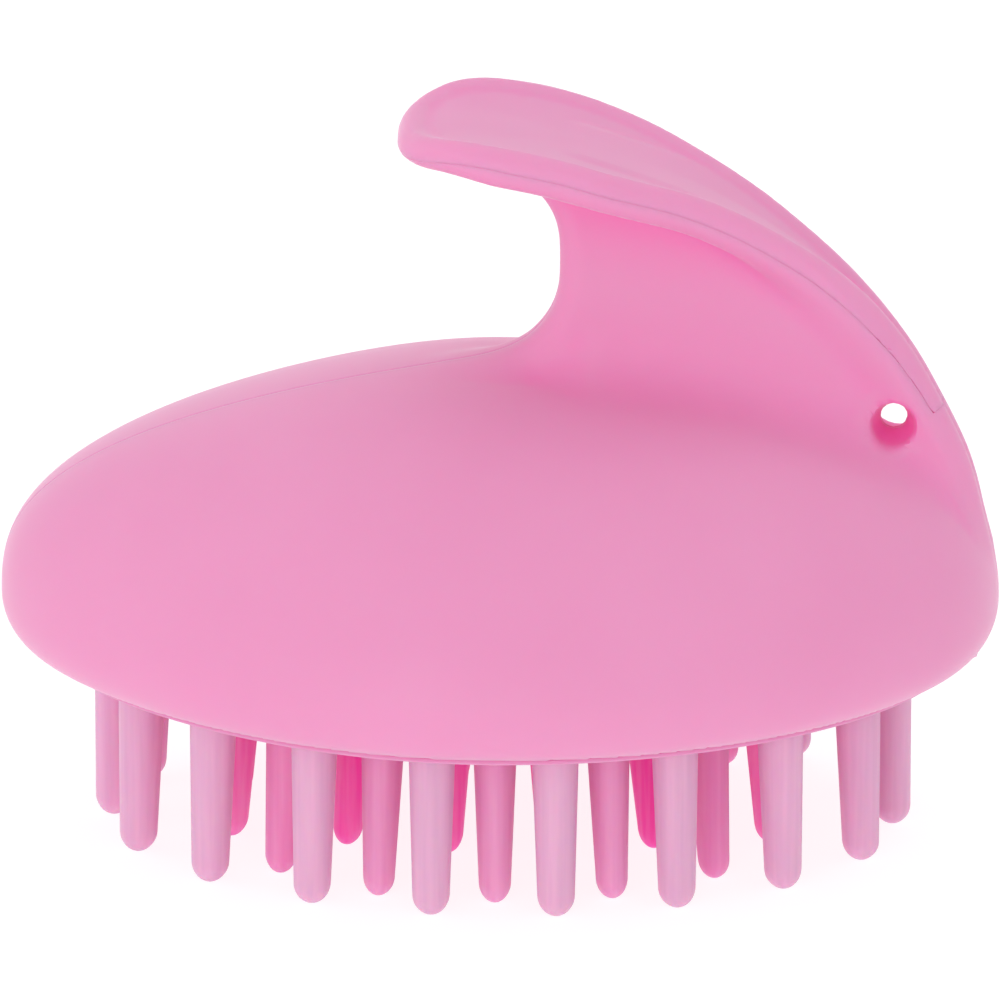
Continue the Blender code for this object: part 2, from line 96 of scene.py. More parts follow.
def smooth_through(knots, values, wanted):
    """A smooth curve through values at rising knots."""
    slopes = np.gradient(values, knots, axis=0)
    wanted = np.clip(wanted, knots[0], knots[-1])
    i = np.clip(np.searchsorted(knots, wanted) - 1, 0, len(knots) - 2)
    width = knots[i + 1] - knots[i]
    t = (wanted - knots[i]) / width
    if values.ndim > 1:
        t, width = t[:, None], width[:, None]
    level = (2 * t**3 - 3 * t**2 + 1) * values[i] + (3 * t**2 - 2 * t**3) * values[i + 1]
    return level + width * ((t**3 - 2 * t**2 + t) * slopes[i] + (t**3 - t**2) * slopes[i + 1])


def sample_spine(count=520, overrun=0.12):
    """Stations along the flange's spine with their points and tangents, run on straight past both ends."""
    knots = np.array(SPINE)
    along = np.concatenate([[0.0], np.cumsum(np.hypot(*np.diff(knots, axis=0).T))])
    length = along[-1]
    stations = np.linspace(-overrun, 1 + overrun, count)
    points = smooth_through(along / length, knots, np.clip(stations, 0, 1))
    inner = np.linspace(0, 1, count)
    tangents = np.gradient(smooth_through(along / length, knots, inner), inner, axis=0)
    tangents /= np.linalg.norm(tangents, axis=1)[:, None]
    tangents = np.stack([np.interp(stations, inner, tangents[:, i]) for i in (0, 1)], axis=1)
    points += tangents * ((stations - np.clip(stations, 0, 1)) * length)[:, None]
    return stations, points, tangents, length


STATIONS, SPINE_POINTS, SPINE_TANGENTS, SPINE_LENGTH = sample_spine()
TABLE_LOW, TABLE_HIGH, TABLE_STEP = (-53.0, 14.0), (53.0, 76.0), 0.25


def spine_table():
    """On a grid over the mid-plane: the nearest station, the spine's x there, and the height over the spine."""
    rows = []
    z = np.arange(TABLE_LOW[1], TABLE_HIGH[1], TABLE_STEP)
    for x in np.arange(TABLE_LOW[0], TABLE_HIGH[0], TABLE_STEP):
        places = np.stack([np.full(len(z), x), z], axis=1)
        gap = places[:, None, :] - SPINE_POINTS[None]
        nearest = np.argmin((gap**2).sum(axis=2), axis=1)
        offset = places - SPINE_POINTS[nearest]
        tangent = SPINE_TANGENTS[nearest]
        forward = (offset * tangent).sum(axis=1)
        height = offset[:, 1] * tangent[:, 0] - offset[:, 0] * tangent[:, 1]
        station = STATIONS[nearest] + forward / SPINE_LENGTH
        rows.append(np.stack([station, SPINE_POINTS[nearest, 0] + forward * tangent[:, 0], height], axis=1))
    return np.array(rows)


SPINE_TABLE = spine_table()


def on_spine(x, z):
    """For points on the mid-plane: their station, the spine's x there, and their height out from the spine."""
    across, up = (x - TABLE_LOW[0]) / TABLE_STEP, (z - TABLE_LOW[1]) / TABLE_STEP
    column = np.clip(across.astype(int), 0, SPINE_TABLE.shape[0] - 2)
    row = np.clip(up.astype(int), 0, SPINE_TABLE.shape[1] - 2)
    across, up = (across - column)[..., None], (up - row)[..., None]
    low = SPINE_TABLE[column, row] * (1 - across) + SPINE_TABLE[column + 1, row] * across
    high = SPINE_TABLE[column, row + 1] * (1 - across) + SPINE_TABLE[column + 1, row + 1] * across
    return tuple(np.moveaxis(low * (1 - up) + high * up, -1, 0))


def dome_level(x, y, z):
    """Below zero inside the dome, an egg-shaped oval at each height."""
    rise = np.clip((z - DOME_WIDEST_Z) / (DOME_TOP_Z - DOME_WIDEST_Z), 0, DOME_HIGHEST_RISE)
    drop = np.clip((DOME_WIDEST_Z - z) / (DOME_WIDEST_Z - DOME_RIM_Z), 0, 0.9999)
    under = 1 - np.sqrt(1 - drop**2)
    rootwards = x > 0
    lip_length = np.where(rootwards, LIP_ROOT_LENGTH, LIP_FRONT_LENGTH)
    along = x / (DOME_HALF_LENGTH + (lip_length - DOME_HALF_LENGTH) * under)
    narrowing = np.where(rootwards, ROOT_NARROWING, FRONT_NARROWING) * np.minimum(along**2, 1.3)
    across = y / ((DOME_HALF_WIDTH + (LIP_HALF_WIDTH - DOME_HALF_WIDTH) * under) * (1 - narrowing))
    lengthwise = along**2 / (along**2 + across**2 + 0.04)
    arch = np.where(rootwards, DOME_ROOT_ARCH_POWER, DOME_FRONT_ARCH_POWER)
    below_top = 1 - rise ** (DOME_CROWN_POWER + (arch - DOME_CROWN_POWER) * lengthwise)
    slimming = 1 + np.where(rootwards, 0.0, DOME_FRONT_SLIMMING) * lengthwise
    return along**2 + across**2 - np.where(below_top > 0, np.abs(below_top) ** slimming, below_top)


def as_distance(level, x, y, z, step=0.25):
    """A level function divided by its slope, which is close to a distance near its surface."""
    slope_x = (level(x + step, y, z) - level(x - step, y, z)) / (2 * step)
    slope_y = (level(x, y + step, z) - level(x, y - step, z)) / (2 * step)
    slope_z = (level(x, y, z + step) - level(x, y, z - step)) / (2 * step)
    return level(x, y, z) / np.sqrt(slope_x**2 + slope_y**2 + slope_z**2 + 1e-5)


def rounded_both(a, b, radius):
    """Inside both a and b, with a rounded edge where they meet."""
    corner = np.hypot(np.maximum(a + radius, 0), np.maximum(b + radius, 0))
    return np.minimum(np.maximum(a, b), -radius) + corner


def blended(a, b, reach):
    """Inside a or b, with a soft fillet between them."""
    share = np.clip(0.5 + 0.5 * (b - a) / reach, 0, 1)
    return b + (a - b) * share - reach * share * (1 - share)


def flange_distance(y, station, near_x, height):
    """The flange: a blunt-nosed leaf seen from above, a full round rim and a slightly dished top."""
    wide_x, wide = FLANGE_WIDTHS[0]
    ahead = np.maximum(wide_x - near_x, 0) / (wide_x - NOSE_X)
    aside = np.abs(y) / wide
    power = NOSE_BLUNTNESS
    reach = (ahead**power + aside**power + 1e-9) ** (1 / power)
    slope_ahead, slope_aside = ahead ** (power - 1) / (wide_x - NOSE_X), aside ** (power - 1) / wide
    steepness = reach ** (1 - power) * np.hypot(slope_ahead, slope_aside)
    nose = (reach - 1) / np.maximum(steepness, 0.5 / wide)
    widths = np.array(FLANGE_WIDTHS)
    half = smooth_through(widths[:, 0], widths[:, 1], np.ravel(near_x)).reshape(near_x.shape)
    plan = np.where(near_x < wide_x, nose, np.abs(y) - half)
    inset = np.clip((-plan - CREASE_INSET) / DISH_WALL, 0, 1)
    bowl = np.clip((-plan - CREASE_INSET) / BOWL_REACH, 0, 1)
    dish = FLANGE_DISH * (DISH_WALL_SHARE * inset**2 * (3 - 2 * inset) + bowl * (2 - bowl))
    # The top sinks a little below the spine at the root and past the end, and along most of its length
    sunk = ROOT_SINK * np.clip((near_x - 44.0) / 3.0, 0, 1) ** 2
    sunk = sunk + END_SINK * SPINE_LENGTH * np.maximum(station - END_STATION, 0)
    sunk = sunk + FLANGE_TOP_DROP * np.clip((40.0 - near_x) / 12.0, 0, 1)
    half_depth = 0.5 * (FLANGE_THICKNESS - NOSE_SLIMMING * np.clip(-near_x / 10.0, 0, 1))
    middle = -half_depth - sunk
    over = height + np.where(height > middle, dish, 0.0)
    return rounded_both(plan, np.abs(over - middle) - half_depth, FLANGE_ROUNDING)


def web_distance(x, y, z, height):
    """The upright web, with a round C-shaped front edge."""
    half = WEB_HALF_THICKNESS + (WEB_ROOT_HALF_THICKNESS - WEB_HALF_THICKNESS) * np.clip((x - 6) / 38, 0, 1)
    rise = np.clip((z - WEB_FRONT_Z) / WEB_FRONT_HALF_HEIGHT, *WEB_CURVE_ENDS)
    reach = np.where(rise < 0, WEB_FOOT_REACH, WEB_ARM_REACH)
    front = WEB_FRONT_X - reach * np.abs(rise) ** 3 - x
    front = front / np.sqrt(1 + (3 * reach * rise**2 / WEB_FRONT_HALF_HEIGHT) ** 2)
    web = rounded_both(np.abs(y) - half, front, WEB_EDGE_ROUNDING)
    return np.maximum(np.maximum(web, height + WEB_TOP_DEPTH * FLANGE_THICKNESS), WEB_LOWEST_Z - z)


def hole_distance(x, y, z):
    """Below zero in the hanging hole, a short bore with flared mouths."""
    flare = np.clip((np.abs(y) - 0.15) / 2.2, 0, 1)
    radius = HANG_HOLE_RADIUS + (HANG_HOLE_MOUTH_RADIUS - HANG_HOLE_RADIUS) * flare
    return np.hypot(x - HANG_HOLE_X, z - HANG_HOLE_Z) - radius


def grip_distance(x, y, z, spine_place=None):
    """Close to the distance from the grip's whole outside, below zero inside."""
    station, near_x, height = spine_place or on_spine(x, z)
    flange = flange_distance(y, station, near_x, height)
    corner = FLANGE_BLEND - (FLANGE_BLEND - FLANGE_NOSE_BLEND) * np.clip((8.0 - x) / 3.0, 0, 1)
    handle = blended(web_distance(x, y, z, height), flange, corner)
    valley = VALLEY_BLEND - (VALLEY_BLEND - VALLEY_ROOT_BLEND) * np.clip((x - 36.0) / 10.0, 0, 1)
    valley = valley - (VALLEY_BLEND - VALLEY_FRONT_BLEND) * np.clip((9.0 - x) / 6.0, 0, 1)
    body = blended(as_distance(dome_level, x, y, z), handle, valley)
    return rounded_both(body, -hole_distance(x, y, z), HOLE_ROUNDING)


# ---------------------------------------------------------------- meshes from the shape

def surface_net(values, origin, step):
    """Points and quads of the surface where a grid of values changes sign."""
    shape = np.array(values.shape) - 1

    def corner(offset):
        return values[tuple(slice(o, o + n) for o, n in zip(offset, shape))]

    total, crossings = np.zeros((*shape, 3)), np.zeros(shape)
    for axis in range(3):
        others = [i for i in range(3) if i != axis]
        for first in (0, 1):
            for second in (0, 1):
                start = np.zeros(3, int)
                start[others[0]], start[others[1]] = first, second
                end = start.copy()
                end[axis] = 1
                low, high = corner(start), corner(end)
                crossed = (low < 0) != (high < 0)
                place = np.where(crossed, low / np.where(crossed, low - high, 1), 0)
                for i in range(3):
                    total[..., i] += crossed * (place if i == axis else start[i])
                crossings += crossed
    active = crossings > 0
    index = np.full(shape, -1)
    index[active] = np.arange(active.sum())
    points = np.argwhere(active) + total[active] / crossings[active][:, None]
    quads = []
    for axis in range(3):
        others = [(axis + 1) % 3, (axis + 2) % 3]
        window = [slice(1, n) for n in shape]
        window[axis] = slice(0, shape[axis])
        ahead = list(window)
        ahead[axis] = slice(1, shape[axis] + 1)
        low, high = values[tuple(window)], values[tuple(ahead)]
        cells = np.argwhere((low < 0) != (high < 0))
        rising = (low < 0)[tuple(cells.T)]
        cells[:, others] += 1
        ring = []
        for back in ((1, 1), (0, 1), (0, 0), (1, 0)):
            near = cells.copy()
            near[:, others[0]] -= back[0]
            near[:, others[1]] -= back[1]
            ring.append(index[tuple(near.T)])
        ring = np.stack(ring, axis=1)
        quads.append(np.where(rising[:, None], ring, ring[:, ::-1]))
    return points * step + origin, np.concatenate(quads)


def gradient(points, distance, step=0.05):
    """The slope of a distance at each point."""
    slopes = []
    for axis in range(3):
        ahead, behind = points.copy(), points.copy()
        ahead[:, axis] += step
        behind[:, axis] -= step
        slopes.append((distance(*ahead.T) - distance(*behind.T)) / (2 * step))
    return np.stack(slopes, axis=1)


def settled(points, distance, rounds=2):
    """Points moved onto the surface of a distance."""
    for _ in range(rounds):
        slope = gradient(points, distance)
        size = np.maximum((slope**2).sum(axis=1), 0.05)
        move = slope * (distance(*points.T) / size)[:, None]
        points = points - np.clip(move, -0.5 * GRID, 0.5 * GRID)
    return points


def grip_half():
    """The near half of the grip's outside, open below and a little past the mid-plane."""
    low = np.array([-49.3, -35.9, 16.1])
    count = np.ceil((np.array([49.3, 1.3, 73.0]) - low) / GRID).astype(int)
    x, y, z = (low[i] + GRID * np.arange(count[i]) for i in range(3))
    plane_x, plane_z = np.meshgrid(x, z, indexing="ij")
    place = tuple(a[:, None, :] for a in on_spine(plane_x, plane_z))
    values = grip_distance(x[:, None, None], y[None, :, None], z[None, None, :], place)
    points, quads = surface_net(values, low, GRID)
    points = settled(points, grip_distance)
    return points, np.concatenate([quads[:, [0, 1, 2]], quads[:, [0, 2, 3]]])


def keep_below(points, triangles, level):
    """The part of a mesh where the level is below zero. Points close to the cut are moved onto it first."""
    value = level(points)
    close = np.abs(value) < 0.25 * GRID
    slope = np.stack([level(points[close] + step) - value[close] for step in 0.01 * np.eye(3)], axis=1) / 0.01
    points = points.copy()
    points[close] -= slope * (value[close] / np.maximum((slope**2).sum(axis=1), 0.1))[:, None]
    value = np.where(close, 0.0, value)
    side = value[triangles]
    whole = (side <= 0).all(axis=1) & (side < 0).any(axis=1)
    cut = (side > 0).any(axis=1) & (side < 0).any(axis=1)
    kept = [tuple(t) for t in triangles[whole]]
    added, new_points = {}, []

    def crossing(a, b):
        key = (min(a, b), max(a, b))
        if key not in added:
            share = value[key[0]] / (value[key[0]] - value[key[1]])
            added[key] = len(points) + len(new_points)
            new_points.append(points[key[0]] + (points[key[1]] - points[key[0]]) * share)
        return added[key]

    for triangle in triangles[cut]:
        outline = []
        for a, b in zip(triangle, np.roll(triangle, -1)):
            if value[a] <= 0:
                outline.append(int(a))
            if value[a] * value[b] < 0:
                outline.append(crossing(int(a), int(b)))
        kept += [(outline[0], outline[i], outline[i + 1]) for i in range(1, len(outline) - 1)]
    if new_points:
        points = np.concatenate([points, np.array(new_points)])
    used, triangles = np.unique(np.array(kept), return_inverse=True)
    return points[used], triangles.reshape(-1, 3)


def mirrored(points, triangles):
    """The far side's copy of a near half."""
    return points * (1, -1, 1), triangles[:, ::-1]


def welded_halves(points, triangles):
    """A half that ends on the mid-plane, joined to its mirror image."""
    other, turned = mirrored(points, triangles)
    on_plane = np.abs(points[:, 1]) < 1e-6
    index = np.where(on_plane, np.arange(len(points)), len(points) + np.arange(len(points)))
    joined = np.concatenate([triangles, index[turned]])
    used, joined = np.unique(joined, return_inverse=True)
    return np.concatenate([points, other])[used], joined.reshape(-1, 3)


def walled(points, triangles):
    """A closed moulding from its outside: chamfered edges, then a skin's thickness inwards."""
    normals = gradient(points, grip_distance)
    normals /= np.maximum(np.linalg.norm(normals, axis=1), 1e-6)[:, None]
    edges = np.concatenate([triangles[:, [0, 1]], triangles[:, [1, 2]], triangles[:, [2, 0]]])
    keys = np.sort(edges, axis=1)
    _, first, uses = np.unique(keys, axis=0, return_index=True, return_counts=True)
    border = edges[first[uses == 1]]
    outward = np.zeros_like(points)
    run = points[border[:, 1]] - points[border[:, 0]]
    for end in (0, 1):
        np.add.at(outward, border[:, end], np.cross(run, normals[border[:, end]]))
    rim = np.unique(border)
    size = np.maximum(np.linalg.norm(outward[rim], axis=1), 1e-9)[:, None]
    outward[rim] /= size
    count = len(points)
    edge_of = np.full(count, -1)
    edge_of[rim] = 2 * count + np.arange(len(rim))
    width = np.where(np.abs(points[rim, 1]) < SEAM_CHAMFER + 0.01, SEAM_CHAMFER, CAP_CHAMFER)[:, None]
    chamfer = points[rim] + outward[rim] * (width - SEAM_HALF_GAP) - normals[rim] * width * 0.7
    inside = points - normals * SKIN
    inside[rim] = chamfer - normals[rim] * (SKIN - width * 0.7)
    a, b = border.T
    strips = [[b, a, edge_of[a]], [b, edge_of[a], edge_of[b]]]
    strips += [[edge_of[b], edge_of[a], a + count], [edge_of[b], a + count, b + count]]
    strips = [np.stack(s, axis=1) for s in strips]
    closed = np.concatenate([triangles, triangles[:, ::-1] + count, *strips])
    return np.concatenate([points, inside, chamfer]), closed


def mesh_piece(name, points, faces):
    """A smooth-shaded object from points in millimetres."""
    mesh = bpy.data.meshes.new(name)
    mesh.from_pydata((points * MM).tolist(), [], faces)
    mesh.validate()
    piece = bpy.data.objects.new(name, mesh)
    bpy.context.collection.objects.link(piece)
    mesh.shade_smooth()
    mesh.set_sharp_from_angle(angle=SHARP_EDGE)
    return piece


def cap_level(points):
    """Above zero where the flange belongs to the cap: over the parting line, up to where the cap runs out."""
    x, _, z = points.T
    station, _, height = on_spine(x, z)
    run_out = np.clip((station / CAP_END - 0.75) / 0.25, 0, 1)
    wander = 0.06 * np.sin(x * 0.55) * np.sin(x * 0.23 + 1)
    depth = CAP_DEPTH + (CAP_END_DEPTH - CAP_DEPTH) * run_out + wander
    return np.minimum(height + depth, (CAP_END - station) * SPINE_LENGTH)


def make_grip():
    """The two shells and the cap over them."""
    points, triangles = grip_half()
    rim_z = PLATE_BOTTOM_Z + LIP_HEIGHT + 0.2
    points, triangles = keep_below(points, triangles, lambda p: rim_z - p[:, 2])
    shell = keep_below(points, triangles, lambda p: p[:, 1] + SEAM_CHAMFER)
    shell = keep_below(*shell, lambda p: cap_level(p) + CAP_CHAMFER)
    cap = keep_below(points, triangles, lambda p: p[:, 1])
    cap = keep_below(*cap, lambda p: CAP_CHAMFER - cap_level(p))
    near = walled(*shell)
    made = {"near_shell": near, "far_shell": mirrored(*near), "grip_cap": walled(*welded_halves(*cap))}
    return {node: mesh_piece(node + "_moulding", mesh[0], mesh[1].tolist()) for node, mesh in made.items()}


def oval(z, inset=0.0, sides=192):
    """A level egg-shaped oval round the lip, in millimetres."""
    turn = 2 * np.pi * np.arange(sides) / sides
    along = np.cos(turn)
    reach = np.where(along > 0, LIP_ROOT_LENGTH, LIP_FRONT_LENGTH) - inset
    narrowing = np.where(along > 0, ROOT_NARROWING, FRONT_NARROWING) * along**2
    across = (LIP_HALF_WIDTH - inset) * np.sin(turn) * (1 - narrowing)
    return np.stack([reach * along, across, np.full(sides, z)], axis=1)


def loft(rings):
    """Points and faces of a closed body through rings, with flat ends."""
    count = len(rings[0])
    rows = np.arange(count)
    faces = [rows[::-1].tolist(), (rows + count * (len(rings) - 1)).tolist()]
    for row in range(len(rings) - 1):
        a, b = row * count + rows, row * count + (rows + 1) % count
        faces += np.stack([a, b, b + count, a + count], axis=1).tolist()
    return np.concatenate(rings), faces


def evaluated_mesh(piece):
    """A plain mesh of an object with its modifiers worked in."""
    graph = bpy.context.evaluated_depsgraph_get()
    return bpy.data.meshes.new_from_object(piece.evaluated_get(graph), depsgraph=graph)


def pin_joints():
    """The frame's joint for each pin, which also gives its place in the plate."""
    return [j for j in frame["joints"] if "_pin_" in j["child"]]


def make_plate():
    """The base plate: a lip with a rounded edge, the plug above it, and a softened hole for each pin."""
    lip_top, edge = PLATE_BOTTOM_Z + LIP_HEIGHT, 0.28
    rings = [oval(PLATE_BOTTOM_Z, 2.0), oval(PLATE_BOTTOM_Z, edge)]
    for turn in np.radians((30, 60, 90)):
        rings.append(oval(PLATE_BOTTOM_Z + edge * (1 - math.cos(turn)), edge * (1 - math.sin(turn))))
    rings += [oval(lip_top - 0.08), oval(lip_top, 0.08), oval(lip_top, 1.35), oval(PLATE_TOP_Z, 1.35)]
    plate = mesh_piece("base_plate_moulding", *loft(rings))
    cutter = bpy.data.meshes.new("pin_holes")
    work = bmesh.new()
    bell_top, bell_radius = PLATE_BOTTOM_Z + PIN_HOLE_BELL, PIN_HOLE_RADIUS + PIN_HOLE_BELL
    profile = ((PIN_HOLE_RADIUS, PLATE_TOP_Z + 1), (PIN_HOLE_RADIUS, bell_top),
               (bell_radius, PLATE_BOTTOM_Z), (bell_radius, PLATE_BOTTOM_Z - 1))
    turns = [2 * math.pi * i / PIN_HOLE_SIDES for i in range(PIN_HOLE_SIDES)]
    for joint in pin_joints():
        x, y, _ = joint["pos_m"]
        rows = []
        for radius, z in profile:
            round_hole = [(x + radius * MM * math.cos(t), y + radius * MM * math.sin(t), z * MM) for t in turns]
            rows.append([work.verts.new(corner) for corner in round_hole])
        for upper, lower in zip(rows, rows[1:]):
            for i in range(PIN_HOLE_SIDES):
                after = (i + 1) % PIN_HOLE_SIDES
                work.faces.new((upper[i], lower[i], lower[after], upper[after]))
        work.faces.new(rows[0])
        work.faces.new(rows[-1][::-1])
    bmesh.ops.recalc_face_normals(work, faces=work.faces)
    work.to_mesh(cutter)
    work.free()
    tool = bpy.data.objects.new("pin_holes", cutter)
    bpy.context.collection.objects.link(tool)
    cut = plate.modifiers.new("pin_holes", "BOOLEAN")
    cut.operation = "DIFFERENCE"
    cut.object = tool
    mesh = evaluated_mesh(plate)
    plate.modifiers.clear()
    plate.data = mesh
    bpy.data.objects.remove(tool)
    mesh.shade_smooth()
    mesh.set_sharp_from_angle(angle=SHARP_EDGE)
    return plate


# ---------------------------------------------------------------- nodes

def add(tree, kind, inputs=(), **settings):
    """Adds a node, with its settings and its inputs, each a value or another node's output."""
    node = tree.nodes.new(kind)
    for key, value in settings.items():
        setattr(node, key, value)
    for key, value in dict(inputs).items():
        if isinstance(value, bpy.types.NodeSocket):
            tree.links.new(value, node.inputs[key])
        else:
            node.inputs[key].default_value = value
    return node


def linear(hex_colour):
    """The linear colour of an sRGB hex value, with full alpha."""
    parts = [int(hex_colour[i : i + 2], 16) / 255 for i in (1, 3, 5)]
    return [c / 12.92 if c <= 0.04045 else ((c + 0.055) / 1.055) ** 2.4 for c in parts] + [1.0]


def new_material(name):
    """A material with its node tree and its shader."""
    made = bpy.data.materials.new(name)
    made.use_nodes = True
    tree = made.node_tree
    return made, tree, tree.nodes["Principled BSDF"]


def per_mm(size):
    """The scale of a pattern whose features are this many millimetres across, on Object coordinates."""
    return 1 / (size * MM)


def cloudy(tree, place, size, low, high, detail=2.0):
    """A soft noise between two values, with features of a size in millimetres."""
    noise = add(tree, "ShaderNodeTexNoise", {"Vector": place, "Scale": per_mm(size), "Detail": detail})
    spread = add(tree, "ShaderNodeMapRange", {0: noise.outputs[0], 1: 0.3, 2: 0.7, 3: low, 4: high})
    return spread.outputs[0]


def soft_touch_polypropylene():
    """Soft-touch polypropylene, moulded: a dry pink skin with a very fine grain, and a deeper pink painted into
    its hollows and folds as shade.
    """
    made, tree, shader = new_material("soft_touch_polypropylene")
    place = add(tree, "ShaderNodeTexCoord").outputs["Object"]
    # Painted shade: a deeper pink under the flange, in the valley and in the hanging hole, where less light comes
    # in
    open_air = add(tree, "ShaderNodeAmbientOcclusion", {"Distance": 9.0 * MM}, samples=8).outputs["AO"]
    painted_shade_amount = add(tree, "ShaderNodeMapRange", {0: open_air, 1: 0.25, 2: 0.95, 3: 1.0, 4: 0.0}).outputs[0]
    # And painted shade in the fold itself, where two rounded forms meet: concave places get the deeper pink
    bend = add(tree, "ShaderNodeNewGeometry").outputs["Pointiness"]
    painted_fold_shade = add(tree, "ShaderNodeMapRange", {0: bend, 1: 0.47, 2: 0.498, 3: 1.0, 4: 0.0}).outputs[0]
    depth = add(tree, "ShaderNodeMath", {0: painted_fold_shade, 1: 0.45, 2: painted_shade_amount}, operation="MULTIPLY_ADD",
                use_clamp=True)
    # depth is how much painted shade each point gets; the second pink is that painted shade
    pinks_with_painted_shade = {0: depth.outputs[0], 6: linear("#e590bb"), 7: linear("#ff4fb2")}
    shaded = add(tree, "ShaderNodeMix", pinks_with_painted_shade, data_type="RGBA").outputs[2]
    # A slow drift in the pink from one place to the next, as pigment leaves it
    drift = {0: cloudy(tree, place, 18, 0.0, 0.35), 6: shaded, 7: linear("#e188b5")}
    colour = add(tree, "ShaderNodeMix", drift, data_type="RGBA").outputs[2]
    tree.links.new(colour, shader.inputs["Base Color"])
    # The grain is about 0.1 mm across on the real skin; it is drawn at 0.3 mm so that it shows
    grain = add(tree, "ShaderNodeTexNoise", {"Vector": place, "Scale": per_mm(0.3), "Detail": 2.0})
    swell = add(tree, "ShaderNodeTexNoise", {"Vector": place, "Scale": per_mm(9.0), "Detail": 1.0})
    fine = add(tree, "ShaderNodeBump", {"Strength": 0.12, "Distance": 0.02 * MM, "Height": grain.outputs[0]})
    bump = add(tree, "ShaderNodeBump", {"Strength": 0.1, "Distance": 0.1 * MM, "Height": swell.outputs[0],
                                        "Normal": fine.outputs[0]})
    tree.links.new(bump.outputs[0], shader.inputs["Normal"])
    tree.links.new(cloudy(tree, place, 12, 0.54, 0.62), shader.inputs["Roughness"])
    # A little light goes into the plastic, and the soft skin glows faintly at its edges
    shader.inputs["IOR"].default_value = 1.49
    shader.inputs["Subsurface Weight"].default_value = 0.35
    shader.inputs["Subsurface Radius"].default_value = (4.0, 1.0, 2.0)
    shader.inputs["Subsurface Scale"].default_value = 0.6 * MM
    shader.inputs["Sheen Weight"].default_value = 0.35
    shader.inputs["Sheen Roughness"].default_value = 0.35
    return made


def moulded_polypropylene():
    """Polypropylene, moulded and left as it comes from the tool: a slightly paler, satin pink, with shade painted
    in as a deeper pink.
    """
    made, tree, shader = new_material("moulded_polypropylene")
    place = add(tree, "ShaderNodeTexCoord").outputs["Object"]
    # Painted shade: a deeper pink in the pin holes and between the pins, where less light comes in
    open_air = add(tree, "ShaderNodeAmbientOcclusion", {"Distance": 14 * MM}, samples=8).outputs["AO"]
    painted_shade_amount = add(tree, "ShaderNodeMapRange", {0: open_air, 1: 0.2, 2: 0.95, 3: 1.0, 4: 0.0}).outputs[0]
    pinks_with_painted_shade = {0: painted_shade_amount, 6: linear("#da90b8"), 7: linear("#fc42a4")}
    colour = add(tree, "ShaderNodeMix", pinks_with_painted_shade, data_type="RGBA").outputs[2]
    tree.links.new(colour, shader.inputs["Base Color"])
    grain = add(tree, "ShaderNodeTexNoise", {"Vector": place, "Scale": per_mm(0.4), "Detail": 2.0})
    bump = add(tree, "ShaderNodeBump", {"Strength": 0.1, "Distance": 0.02 * MM, "Height": grain.outputs[0]})
    tree.links.new(bump.outputs[0], shader.inputs["Normal"])
    tree.links.new(cloudy(tree, place, 8, 0.38, 0.48), shader.inputs["Roughness"])
    shader.inputs["IOR"].default_value = 1.49
    shader.inputs["Subsurface Weight"].default_value = 0.3
    shader.inputs["Subsurface Radius"].default_value = (4.0, 1.0, 2.0)
    shader.inputs["Subsurface Scale"].default_value = 0.6 * MM
    return made


def moulded_silicone():
    """Silicone rubber, moulded: translucent pink with faint flow streaks down each pin, and shade painted as a
    deeper pink on the pins further in.
    """
    made, tree, shader = new_material("moulded_silicone")
    place = add(tree, "ShaderNodeTexCoord").outputs["Object"]
    # Painted shade: the further in under the plate a pin stands, the deeper its pink, as the pins round it keep
    # light off it
    plate_reach = (per_mm(40.0), per_mm(28.0), 0.0)
    shares = add(tree, "ShaderNodeVectorMath", {0: place, 1: plate_reach}, operation="MULTIPLY").outputs[0]
    outness = add(tree, "ShaderNodeVectorMath", {0: shares}, operation="LENGTH").outputs["Value"]
    depth = add(tree, "ShaderNodeMapRange", {0: outness, 1: 0.5, 2: 1.06, 3: 1.0, 4: 0.0},
                interpolation_type="SMOOTHSTEP").outputs[0]
    pinks_with_painted_shade = {0: depth, 6: linear("#cfa2c0"), 7: linear("#f242ac")}
    rubber = add(tree, "ShaderNodeMix", pinks_with_painted_shade, data_type="RGBA").outputs[2]
    # Flow streaks, drawn out lengthwise
    long = add(tree, "ShaderNodeMapping", {"Vector": place, "Scale": (1.0, 1.0, 0.04)})
    streak = cloudy(tree, long.outputs[0], 0.9, 0.0, 0.3, 3.0)
    # rubber holds the pin's pink with its painted shade; the streaks go over it
    streaked = {0: streak, 6: rubber, 7: linear("#f4bcd8")}
    colour = add(tree, "ShaderNodeMix", streaked, data_type="RGBA").outputs[2]
    tree.links.new(colour, shader.inputs["Base Color"])
    bump = add(tree, "ShaderNodeBump", {"Strength": 0.15, "Distance": 0.05 * MM, "Height": streak})
    tree.links.new(bump.outputs[0], shader.inputs["Normal"])
    tree.links.new(cloudy(tree, place, 3, 0.42, 0.52), shader.inputs["Roughness"])
    shader.inputs["IOR"].default_value = 1.41
    shader.inputs["Subsurface Weight"].default_value = 0.6
    shader.inputs["Subsurface Radius"].default_value = (5.0, 0.9, 2.2)
    shader.inputs["Subsurface Scale"].default_value = 0.5 * MM
    return made


def zinc_plated_steel():
    """Zinc-plated steel, cold formed: a grey metal with a faint blue cast and a fine crystal mottle."""
    made, tree, shader = new_material("zinc_plated_steel")
    place = add(tree, "ShaderNodeTexCoord").outputs["Object"]
    greys = {0: cloudy(tree, place, 0.35, 0.0, 1.0, 4.0), 6: linear("#c3c7cc"), 7: linear("#aab0b8")}
    colour = add(tree, "ShaderNodeMix", greys, data_type="RGBA").outputs[2]
    tree.links.new(colour, shader.inputs["Base Color"])
    tree.links.new(cloudy(tree, place, 0.5, 0.28, 0.42), shader.inputs["Roughness"])
    shader.inputs["Metallic"].default_value = 1.0
    return made


# ---------------------------------------------------------------- pins

